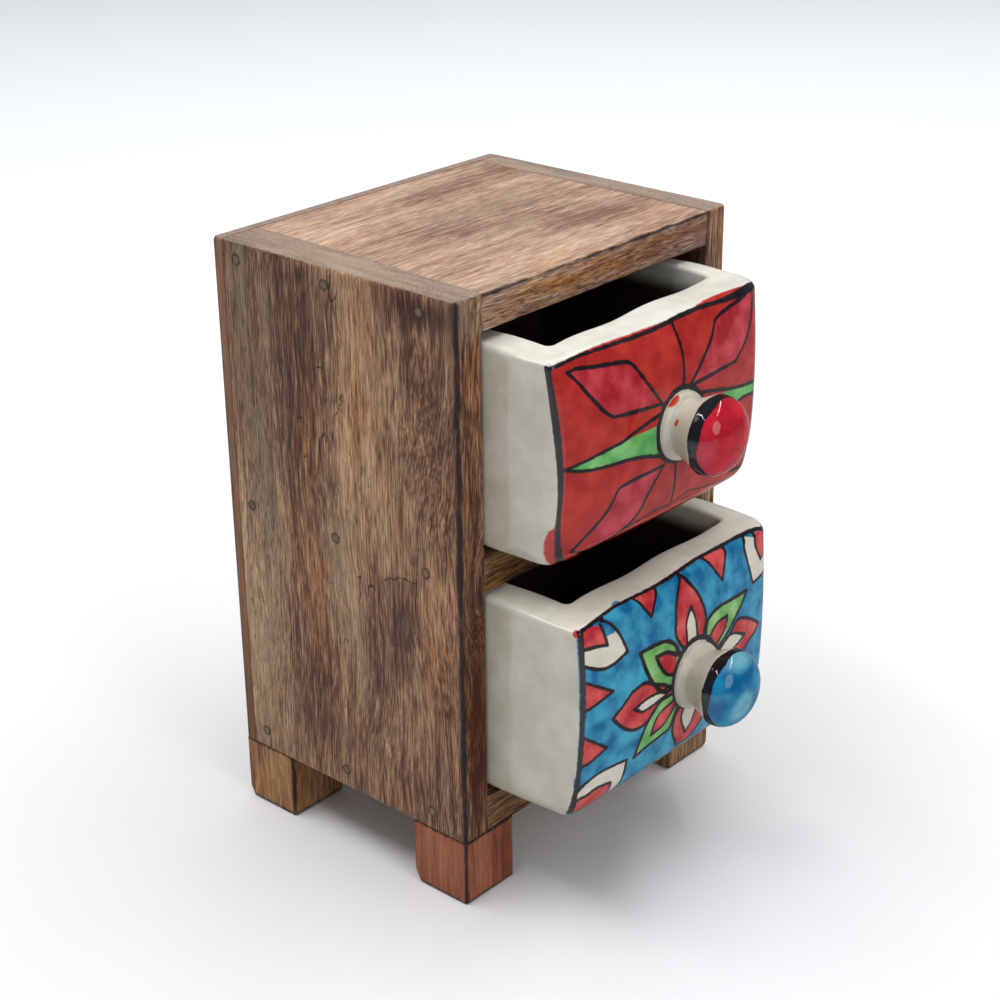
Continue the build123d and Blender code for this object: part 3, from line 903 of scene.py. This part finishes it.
def red_front(spots):
    """The distance from each spot to the edge of each coat on the upper front."""
    over_edge = stroke(
        (-42.9, 52.6), (-33.6, 53.4), (-21.8, 53.8), (-7.1, 53.9), (3.3, 53.3), (10.4, 53.6),
        (18.3, 54.7), (25.5, 54.9), (34.4, 53.9), (44, 52.5),
    )
    left_edge = stroke(
        (-39.7, -3), (-41.9, 4.7), (-42.8, 8.5), (-42.6, 11.5), (-41.3, 13.6), (-41.2, 22),
        (-41.9, 34.6), (-42.9, 48.4), (-42.9, 52.6),
    )
    right_edge = stroke((44, 52.5), (44.6, 30), (43.5, 5), (41, -3))
    ground = area(spots, left_edge, over_edge, right_edge, stroke((41, -3), (0, -4), (-39.7, -3)))
    upper_left = joined(
        (
            (-36.5, 50.5), (-33, 50.5), (-28, 49.6), (-22.4, 48.9), (-18.6, 48.4), (-15.7, 47.1),
            (-12.2, 42), (-7.6, 35.4),
        ),
        ((-14.3, 35.9), (-19.3, 36.3), (-24.2, 36.8)),
        ((-26.8, 38.7), (-30.6, 43.2), (-33.8, 47.5), (-36.5, 50.5)),
    )
    upper_right = joined(
        ((3.4, 36.6), (6.7, 39.1), (11.2, 42.7), (14.4, 45.6), (16.6, 49)),
        ((18.8, 49.9), (24.5, 50.9), (30, 51.7), (34, 53)),
        ((33.9, 50), (32.6, 45.4), (30.7, 41.7), (27.5, 38.9), (24.2, 36.8)),
        ((15.8, 36.8), (8.5, 36.7), (3.4, 36.6)),
    )
    lower_left = joined(
        ((-6.3, 19), (-13.9, 18.8), (-21, 18.2), (-22.7, 17.3)),
        ((-24.2, 14.2), (-27, 11.2), (-30.3, 8.9), (-34, 6.6), (-37.6, 4.6)),
        ((-30.1, 1.6), (-24.4, 2.6), (-18.1, 4.6), (-14.9, 6.3)),
        ((-12.7, 8.5), (-10.6, 12.8), (-8.3, 16.5), (-6.3, 19)),
    )
    lower_right = joined(
        ((6.2, 19.5), (14, 20), (22, 19.6), (25, 18.4)),
        ((29, 14.5), (33, 10.6), (39, 5)),
        ((31, 5.2), (25, 7), (19, 10.2)),
        ((14, 13), (10, 16), (6.2, 19.5)),
    )
    petals = (upper_left, upper_right, lower_left, lower_right)
    leaf_top = stroke(
        (-40.3, 27.9), (-34.4, 28.4), (-27.6, 29.3), (-21.8, 30), (-16.8, 31.4), (-12, 32.4),
        (-8.5, 33),
    )
    leaf_under = stroke(
        (-7.6, 21.9), (-14.6, 23.9), (-20.7, 24.8), (-28, 25.3), (-34.4, 26.2), (-40.3, 27.9),
    )
    left_leaf = area(
        spots,
        stroke((-40.3, 27.9), (-34.4, 28.3), (-27.6, 29.1), (-21.8, 29.7), (-16.8, 30.3), (-8, 30.3)),
        leaf_under,
    )
    right_top = stroke((6.1, 34), (14.1, 32.3), (24.2, 29.8), (33.4, 28.2), (41, 26.6))
    right_under = stroke((41, 26.6), (35.2, 25.2), (30.2, 25.6), (26.9, 25.8), (16, 24.6), (7, 22.5))
    right_leaf = area(
        spots,
        stroke((8, 31.5), (14, 31), (24.2, 29.6), (33.4, 28), (41, 26.6)),
        right_under,
    )
    border = (
        (stroke(
            (-42, 51.9), (-41.8, 45.2), (-41.5, 38.2), (-41.1, 31.1), (-40.8, 23.7), (-40.8, 16),
            (-40.4, 8), (-39.6, 1),
        ), 2.3, 1.9, 1.2, 1.0),
        (stroke((-42.2, 52), (-40.6, 52.5), (-33.8, 53), (-28.6, 53)), 0.9, 0.8),
        (stroke(
            (-30, 52.9), (-20.7, 52.9), (-7.1, 53), (0.2, 53.1), (10.1, 53.2), (17.6, 53),
            (24.7, 52.8), (31.9, 52.9), (36, 52.8), (43, 50),
        ), 0.8, 1.0, 1.05, 1.1, 2.4, 2.2),
        (stroke((43, 50), (43.6, 38), (43.4, 20), (41.5, 2)), 2.0, 1.4),
    )
    veins = (
        (stroke(
            (0.8, 53.1), (1.1, 51.2), (1.9, 47.9), (2.1, 44), (1.7, 40.5), (1, 37.4),
        ), 0.85, 1.05),
        (stroke((-1.9, 18.3), (-1, 15.2), (0, 10.6), (0.7, 5.5)), 0.95, 0.85),
        (stroke((-17, 4.4), (-6.9, 5.9), (0.6, 5.6), (8, 6.8), (14.1, 5.5), (30, 3)), 0.5, 0.65, 0.5),
    )
    lines = [ink(spots, line, *pen) for line, *pen in border + veins]
    lines += [ink(spots, line, 0.9, 1.15, 0.9) for petal in petals for line in petal]
    leaves = (leaf_top, leaf_under[::-1], right_top[::-1], right_under)
    lines += [ink(spots, line, 0.85, 1.15) for line in leaves]
    ring = np.hypot(spots[:, 0] + 0.2, spots[:, 1] - 27.9) - 9.3
    lines.append(np.abs(ring) - 0.75)
    return {
        "red": ground,
        "petal": union(*(area(spots, *petal) for petal in petals)),
        "green": union(left_leaf, right_leaf),
        "cream": ring,
        "ink": union(*lines),
    }


upper_drawer = painted_drawer("red_drawer", "upper_drawer", upper_shape, 96.7, -36.75, red_front)
red_coats = (
    # The rim coat is painted light, a lighter cream over the rim and inside.
    ("rim", "#E4E3D9", "#D9D7CB", 1.2),
    # Painted shade inside the drawer, dark brown to near black.
    ("painted_inner_shade", "#43372F", "#332923", 2.5),
    ("red", "#C0372D", "#A3201D", 0.25),
    ("petal", "#CC4450", "#A31A25", 0.35),
    ("green", "#86C878", "#4FA552", 0.25),
    ("cream", "#DDD9CB", "#CDC8B8", 0.15),
    ("ink", "#2A2028", "#120F14", 0.16),
)
upper_drawer.data.materials.append(glazed("red_painted_stoneware_glaze", red_coats, 3.0))

# The lower drawer's front is washed blue, with an eight-petalled flower round
# the knob, red triangles along its edges and a white petal in each corner.

lower_shape = dict(
    upper_shape,
    size=(81.7, 76.5, 56.2),
    foot=(5, 8, 9, 9),
    rim=(1.8, 3.5, 1.8, 2),
    wall=(9.4, 8.2, 10.9, 7.2),
    corners=(2.2, 8.2, 4, 4),
    cavity_corners=(2, 2.5, 4, 4),
    front_wall_skew=0,
    right_draft=0.6,
    swell=(2.3, 0.6),
    bow=3.6,
    rim_bow=0,
    front_skew=0,
    lip_lift=1.6,
)


def blue_front(spots):
    """The distance from each spot to the edge of each coat on the lower front."""

    def fill(shape):
        """The distance to the shape inside those strokes."""
        return area(spots, *shape)

    ground = area(
        spots,
        stroke((-41.5, -3), (-42.1, 10), (-41.9, 24), (-41.6, 39), (-41.2, 52), (-40.8, 55.8)),
        stroke(
            (-40.8, 55.8), (-29.5, 56.6), (-18.1, 56.9), (-0.9, 56.9), (14.8, 57.2), (28.6, 57.4),
            (36.3, 56), (44, 54),
        ),
        stroke((44, 54), (44.8, 30), (43, 4), (41, -4)),
    )
    top_drip = np.hypot((spots[:, 0] + 24.3) / 1.4, spots[:, 1] - 57.1) - 1.3
    side_drip = np.hypot(spots[:, 0] + 42.1, (spots[:, 1] - 13.3) / 1.6) - 1.0
    border = (
        (stroke(
            (-39.8, 55), (-40.2, 50), (-40.6, 39.3), (-40.9, 31.9), (-41.2, 24.2), (-41.5, 16.3),
            (-41.7, 10.2), (-41.6, 3),
        ), 1.7, 1.4, 1.3, 1.2),
        (stroke(
            (-40.5, 55.6), (-35.2, 56), (-29.5, 56.5), (-25.5, 56.9), (-22, 56.7), (-18.1, 56.8),
            (-9.9, 56.6), (-0.9, 56.7), (7.5, 57), (14.8, 57), (22.7, 57.3), (28.6, 57.1),
            (33.8, 56.4), (37, 54.6), (42, 52),
        ), 1.0, 1.0, 1.0, 1.2, 1.7, 1.6),
        (stroke((42.8, 51), (43.6, 38), (43.2, 20), (41, 3)), 1.6, 1.3),
        (stroke((-41.6, 3), (-25, 0.4), (0, 0), (25, 0.6), (41, 3)), 0.8, 0.8),
    )
    corner_core = joined(
        ((-39.9, 50.9), (-39.7, 55.3), (-36, 55.5), (-32.8, 54.7)),
        ((-32, 52.2), (-31.4, 49.1)),
        ((-35.8, 50.2), (-39.9, 50.9)),
    )
    corner_petal = joined(
        ((-31.8, 55.6), (-30.7, 54.8), (-28.4, 52.6), (-26.3, 49), (-25, 45)),
        ((-30.3, 43.6), (-34.9, 44), (-40, 46.6)),
    )
    corner_white = area(
        spots,
        stroke((-39.9, 51), (-31.6, 51.2), (-28.2, 51)),
        corner_petal[0][16:],
        corner_petal[1],
    )
    right_core = joined(((31.2, 56), (31, 52.3), (33.1, 47.7)), ((38.5, 49.8), (41, 54)))
    right_petal = joined(
        ((27.6, 56.4), (25.9, 53.8), (26.9, 48.6), (28.6, 42.5)),
        ((34, 43.2), (40, 45), (43.4, 48)),
    )
    foot_core = joined(
        ((-41, 8.2), (-37.4, 10), (-31.2, 9.4)),
        ((-31.6, 5.6), (-34.4, 3.2), (-41.4, 2.6)),
    )
    foot_petal = joined(
        ((-41.4, 10.8), (-39.2, 13.6), (-34.7, 14.6), (-30, 14.5), (-25.2, 14)),
        ((-26.2, 9.6), (-28, 5.5), (-32, 2), (-41, 0.8)),
    )
    foot_right = [[mirrored(line) for line in lines] for lines in (foot_core, foot_petal)]
    triangles = [
        joined(((-39.9, 42.2), (-31, 36.6)), ((-40.2, 34.5),)),
        joined(((-40.8, 27.2), (-33.1, 21.4)), ((-40.7, 18.6),)),
        joined(((-18.7, 56.4), (-14.6, 50.2)), ((-10, 56.4),)),
        joined(((9.1, 56.7), (14.8, 48.7)), ((18.8, 56.7),)),
        joined(((42.8, 41), (34, 36.5)), ((43, 33.6),)),
        joined(((42.8, 27), (34.6, 22)), ((42.6, 18),)),
        joined(((-16, 0.4), (-11.6, 6)), ((-8, 0.2),)),
        joined(((10, 0.2), (14.2, 6)), ((18.4, 0.4),)),
    ]
    green_petals = [
        (
            joined(
                ((-6.4, 37.4), (-8.2, 40.6), (-11.1, 42.3), (-15.7, 42.9), (-20.7, 42.8)),
                ((-19.6, 38.8), (-17.7, 34.3), (-15, 30.6), (-12.2, 28.6), (-8.6, 28.6)),
            ),
            joined(
                ((-7.4, 37.2), (-11, 39.3), (-15.1, 39.6)),
                ((-14, 36.7), (-11.6, 33.5), (-8.6, 32.2)),
            ),
        ),
        (
            joined(
                ((5, 37.2), (6, 40.5), (8.1, 42), (12.6, 42.7), (19, 42.3), (25.4, 41.9)),
                ((22, 38.8), (17.7, 36), (14.2, 33.6), (8.8, 31.5)),
            ),
            joined(((5.6, 35.4), (9.8, 38.6), (15.2, 39)), ((14, 36), (9, 32.5))),
        ),
        (
            joined(
                ((-9, 27), (-13.1, 26.8), (-16.6, 25), (-19.3, 21.4), (-20.8, 18), (-22.6, 13.2)),
                ((-18.1, 14.6), (-13, 15.5), (-9.2, 16.4), (-7.8, 20), (-6.6, 22.8)),
            ),
            joined(
                ((-8.2, 24.8), (-13.4, 23.5), (-15.7, 21.4), (-16.7, 17.7)),
                ((-12.6, 18.5), (-9.8, 20.7), (-7.4, 23.6)),
            ),
        ),
    ]
    green_petals.append([[mirrored(line, 0.4) for line in lines] for lines in green_petals[2]])
    red_petals = [
        (
            joined(
                ((-4, 36.9), (-6.9, 41.9), (-6.1, 45.9), (-4.6, 50.3), (-0.8, 56)),
                ((1, 53.6), (3.8, 49.6), (5.5, 45.1), (5.6, 41.4), (3.6, 37.4)),
            ),
            joined(((-3, 38.4), (-2.3, 43.8), (0.4, 47.2)), ((1.4, 43.8), (1.6, 38.4))),
        ),
        (
            joined(
                ((9, 31), (15.9, 32.9), (19.7, 35.5), (23.2, 34.8), (27.7, 32.4), (31.9, 29.5)),
                ((30.4, 27.9), (27, 26.6), (22, 24.9), (9.4, 26.5)),
            ),
            joined(((9.6, 30), (16.6, 32.8), (24.1, 29.6)), ((20.9, 28.6), (15, 27.6), (9.8, 27.6))),
        ),
        (
            joined(
                (
                    (-9, 28.4), (-13, 31), (-16.8, 32.8), (-19.7, 34.4), (-21.7, 34.3),
                    (-24.6, 33.6), (-27.5, 31.6), (-31.5, 29),
                ),
                ((-28.8, 25.8), (-25.4, 23.2), (-21.9, 22.2), (-18.9, 22.8), (-16, 25.2)),
            ),
            joined(
                ((-12.2, 29.2), (-17.3, 29.8), (-20.8, 29.4), (-24, 28.6)),
                ((-21.2, 26.8), (-18.8, 26.7), (-16, 27), (-12.2, 27.6)),
            ),
        ),
        (
            joined(
                ((-6, 21.5), (-7.6, 18), (-7, 13.4), (-3.3, 7.4)),
                ((0.6, 7.6), (3.5, 9), (6, 12.4), (5.6, 21.5)),
            ),
            joined(((-4, 20.2), (-4.3, 16.8), (-1, 10.8)), ((1, 13.8), (2.6, 19.8))),
        ),
    ]
    green_cores = [core for _, core in green_petals]
    red_cores = union(*map(fill, (corner_core, right_core, foot_core, foot_right[0], *green_cores)))
    white_cores = union(*(fill(core) for _, core in red_petals))
    whites = union(corner_white, *map(fill, (right_petal, foot_petal, foot_right[1])))
    greens = union(*(fill(outer) for outer, _ in green_petals))
    reds = union(*(fill(outer) for outer, _ in red_petals))
    lines = [ink(spots, line, *pen) for line, *pen in border]
    for outer, core in green_petals + red_petals:
        lines += [ink(spots, line, 1.05, 1.05) for line in outer]
        lines += [ink(spots, line, 1.0, 0.75, 1.0) for line in core]
    lines += [ink(spots, line, 1.3, 1.1) for line in green_petals[0][0] + green_petals[0][1]]
    for shape in (corner_petal, right_petal, foot_petal, *foot_right, corner_core[1:]):
        lines += [ink(spots, line, 0.95, 0.95) for line in shape]
    lines += [ink(spots, line, 0.95, 0.95) for line in right_core + foot_core]
    lines += [ink(spots, line, 0.85, 0.95) for triangle in triangles for line in triangle]
    ring = np.hypot(spots[:, 0] - 0.1, spots[:, 1] - 29.1) - 9.3
    lines.append(np.abs(ring) - 0.75)
    blob = np.hypot(spots[:, 0] + 41, spots[:, 1] - 55.2) - 1.1
    return {
        "blue": union(ground, top_drip, side_drip),
        "white": union(without(whites, red_cores), white_cores),
        "green": without(greens, red_cores),
        "red": union(without(reds, white_cores), red_cores, blob, *map(fill, triangles)),
        "cream": ring,
        "ink": union(*lines),
    }


lower_drawer = painted_drawer("blue_drawer", "lower_drawer", lower_shape, 29.4, -44.25, blue_front)
blue_coats = (
    # The rim coat is painted light, a lighter cream over the rim and inside.
    ("rim", "#ECEADD", "#E1DED0", 1.2),
    # Painted shade inside the drawer, dark brown to near black.
    ("painted_inner_shade", "#43372F", "#332923", 2.5),
    ("blue", "#3FA6C6", "#006699", 0.3),
    ("green", "#9CCB84", "#62A653", 0.2),
    ("red", "#DE5C58", "#B41F2C", 0.2),
    ("white", "#E2DDCD", "#D6D0BE", 0.2),
    ("cream", "#DDD9CB", "#CDC8B8", 0.15),
    ("ink", "#2A2028", "#120F14", 0.16),
)
lower_drawer.data.materials.append(glazed("blue_painted_stoneware_glaze", blue_coats, 8.0))

# ---------------------------------------------------------------------------
# Knobs. Each is thrown by hand and luted to the drawer before firing: a cream
# collar, a waisted neck, and a domed head painted in colour behind a black band.


def turned(name, x, front, z, profile, coats):
    """A profile of (distance out from the drawer, radius) turned once round the knob's axis, with the
    profile's stretches rounded by a smooth curve and the neck a hair out of true."""
    outline = np.concatenate([stroke(*part) for part in profile])
    outline = outline[np.append(True, np.hypot(*np.diff(outline, axis=0).T) > 1e-6)]
    out, radius = outline[:, :1], outline[:, 1:]
    angle = np.linspace(0, 2 * np.pi, 160, endpoint=False)
    radius = radius * (1 + 0.006 * np.sin(2 * angle + 0.6) + 0.004 * np.sin(3 * angle))
    out = out + 0 * angle
    points = np.stack((x + radius * np.cos(angle), front - out, z + radius * np.sin(angle)), -1)
    return closed_shell(name, points, coats(out, radius, angle))


def knob_profile(collar, neck, head, top):
    """Collar, neck, head and the height of the dome, with the head starting 9.8 mm out."""
    sweep = np.radians(np.linspace(0, 88, 9))
    dome = [(10.4 + (top - 10.4) * math.sin(a), head * math.cos(a) ** 0.92) for a in sweep]
    return (
        ((-3.0, collar - 0.5), (-0.5, collar - 0.2)),
        (
            (-0.5, collar - 0.2), (0.5, collar), (1.5, collar - 0.2), (2.1, neck + 0.55),
            (2.5, neck), (3.1, neck), (4.6, neck + 0.55), (6.5, neck + 1.25), (8.3, head - 0.6),
            (9.6, head), (10.4, head),
        ),
        dome,
    )


def banded(out, angle, band, dome_from):
    """The head's coats by distance out: a black band about its middle, and the dome's colour from
    under the band's outer edge on. Both edges waver by the sum of two sines round the knob."""
    wave = -0.25 * np.sin(3 * angle + 1) - 0.15 * np.sin(7 * angle)
    return {
        "dome": dome_from - 0.8 - out + wave,
        "ink": np.abs(out - band) - (dome_from - band) - 0.2 + wave,
    }


def red_knob_coats(out, radius, angle):
    """The band and dome, with an oval blotch of red on the collar and a dot on the neck."""
    coats = banded(out, angle, 11.0, 12.3)
    turn = np.mod(angle - np.radians(118), 2 * np.pi)
    blotch = np.hypot((out - 0.9) / 1.0, 9 * np.minimum(turn, 2 * np.pi - turn) / 2.2) - 1
    turn = np.mod(angle - np.radians(152), 2 * np.pi)
    dot = np.hypot((out - 4.0) / 0.6, 8 * np.minimum(turn, 2 * np.pi - turn) / 1.0) - 1
    return {"blotch": np.minimum(blotch, dot), **coats}


def blue_knob_coats(out, radius, angle):
    """The band and dome, with the blue thin in an oval at its left and in a crescent on top."""
    x, z = radius * np.cos(angle), radius * np.sin(angle)
    low = 3.5 * (np.hypot((x + 2.2) / 3.4, (z + 1.2 - 0.3 * x) / 3.6) - 1)
    high = 2.0 * (np.hypot(x / 7.0, (z - 9.2) / 2.0) - 1)
    thin = np.where(out > 11, np.minimum(low, high), 9)
    return {"thin": thin, **banded(out, angle, 10.9, 11.9)}


upper_knob = turned(
    "red_knob",
    DRAWER_X,
    -42.2,
    124.6,
    knob_profile(8.7, 7.3, 10.0, 17.3),
    red_knob_coats,
)
band_ink = ("ink", "#1B1B22", "#101015", 0.15)
red_head = (("blotch", "#C8452F", "#B8301F", 0.2), ("dome", "#C92237", "#9E0F22", 0.2), band_ink)
upper_knob.data.materials.append(glazed("red_knob_stoneware_glaze", red_head, 5.0))
lower_knob = turned(
    "blue_knob",
    DRAWER_X,
    -48.75,
    58.5,
    knob_profile(8.8, 7.3, 10.1, 17.3),
    blue_knob_coats,
)
blue_head = (("dome", "#1F8DB5", "#005F92", 0.2), ("thin", "#7AB8C9", "#5AA0B8", 1.3), band_ink)
lower_knob.data.materials.append(glazed("blue_knob_stoneware_glaze", blue_head, 11.0))
knobs = ((upper_knob, "upper", "red_knob_ceramic"), (lower_knob, "lower", "blue_knob_ceramic"))
for knob, level, slot in knobs:
    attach(knob, level + "_drawer")
    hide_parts(level + "_knob")

# ---------------------------------------------------------------------------
# Studio. A flat sheet of matt white paper in a plain white room. A broad soft
# light hangs overhead, out of the glaze's reflections, and a window stands in
# front. A panel behind is only mirrored in the glaze, where two thin tubes glint too.

floor_mesh = bpy.data.meshes.new("studio_floor")
floor_mesh.from_pydata([(-4, -4, 0), (4, -4, 0), (4, 4, 0), (-4, 4, 0)], [], [(0, 1, 2, 3)])
floor = bpy.data.objects.new("studio_floor", floor_mesh)
bpy.context.scene.collection.objects.link(floor)

# Matt white paper: to the eye it brightens slowly away from the front and keeps no texture. The
# glaze mirrors it dimmed to the right, and it returns a light grey to everything else.
paper, node = new_material("matt_white_paper")
spot = node("TexCoord").outputs["Object"]
depth = node("VectorMath", (spot, (0.747, 0.664, 0)), operation="DOT_PRODUCT")
fade = node("MapRange", (depth, -0.1, 1.1, 0.0, 1.0), **SMOOTH)
seen = node("Mix", (fade, (0.88, 0.88, 0.89, 1), (1.19, 1.24, 1.265, 1)), **RGBA)
side = node("VectorMath", (spot, (1, 0, 0)), operation="DOT_PRODUCT")
side = node("MapRange", (side, -0.12, 0.02, 0.0, 1.0))
dimmed = node("Mix", (side, (1.0, 1.03, 1.08, 1), (0.34, 0.34, 0.35, 1)), **RGBA)
rays = node("LightPath").outputs
cast = node("Mix", (rays["Is Glossy Ray"], linear("#DEDEE0"), dimmed), **RGBA)
shown = node("Mix", (rays["Is Camera Ray"], cast, seen), **RGBA)
sheet = node("BsdfDiffuse", {"Color": shown})
node("OutputMaterial", {"Surface": sheet})
floor_mesh.materials.append(paper)

world = bpy.data.worlds.new("studio")
bpy.context.scene.world = world
world.use_nodes = True
world.node_tree.nodes.clear()
node = partial(add, world)
rays = node("LightPath").outputs
unseen = node("Mix", (rays["Is Glossy Ray"], (0.325, 0.33, 0.345, 1), (0.14, 0.145, 0.15, 1)), **RGBA)
room = node("Mix", (rays["Is Camera Ray"], unseen, (0.86, 0.89, 0.91, 1)), **RGBA)
air = node("Background", {"Color": room, "Strength": 1.0})
node("OutputWorld", {"Surface": air})


def lamp(name, place, aim, size, power, turn=0.0, mirrored_in_glaze=True, lights_surfaces=True):
    """An area light of (width, height) metres, facing its aim and turned about its own axis."""
    data = bpy.data.lights.new(name, "AREA")
    data.shape, data.size, data.size_y, data.energy = "ELLIPSE", *size, power
    light = bpy.data.objects.new(name, data)
    facing = (Vector(place) - Vector(aim)).to_track_quat("Z", "Y").to_matrix()
    light.matrix_world = Matrix.Translation(place) @ (facing @ Matrix.Rotation(turn, 3, "Z")).to_4x4()
    light.visible_glossy = mirrored_in_glaze
    light.visible_diffuse = lights_surfaces
    bpy.context.scene.collection.objects.link(light)


lamp("overhead_softbox", (0.0, 0.1, 1.2), (0, 0, 0.08), (1.4, 1.4), 9.4, mirrored_in_glaze=False)
lamp("front_window", (-0.3, -1.9, 1.0), (0, 0, 0.1), (0.9, 1.3), 8.4)
lamp("rear_panel", (-0.51, 0.6, 0.91), (-0.04, -0.04, 0.15), (0.6, 0.5), 4.5, lights_surfaces=False)
lamp("right_tube", (0.456, -0.36, 1.1), (0.456, -0.36, 0), (1.25, 0.05), 3.4, turn=math.radians(49))
lamp("left_tube", (-0.41, 0.26, 1.1), (-0.41, 0.26, 0), (1.1, 0.05), 3.0, turn=math.radians(68))

# The camera stands to the left of the chest and looks down on its front corner.
view_right = np.array((0.66093773, -0.75037598, -0.00985885))
view_up = np.array((0.31511865, 0.2655883, 0.91113286))
view_ahead = np.array((0.68107382, 0.60530879, -0.41199479))
stand = np.array((-0.36679, -0.30854, 0.30857))
FOCAL_PIXELS = 2020.18
PICTURE_PIXELS = 1000
SENSOR = 36

camera_data = bpy.data.cameras.new("camera")
camera_data.sensor_width = SENSOR
camera_data.lens = SENSOR * FOCAL_PIXELS / PICTURE_PIXELS
camera = bpy.data.objects.new("camera", camera_data)
turn = np.eye(4)
for column, axis in enumerate((view_right, view_up, -view_ahead)):
    turn[:3, column] = axis / np.linalg.norm(axis)
turn[:3, 3] = stand
camera.matrix_world = Matrix(turn.tolist())
bpy.context.scene.collection.objects.link(camera)
bpy.context.scene.camera = camera
bpy.context.scene.view_settings.view_transform = "Standard"
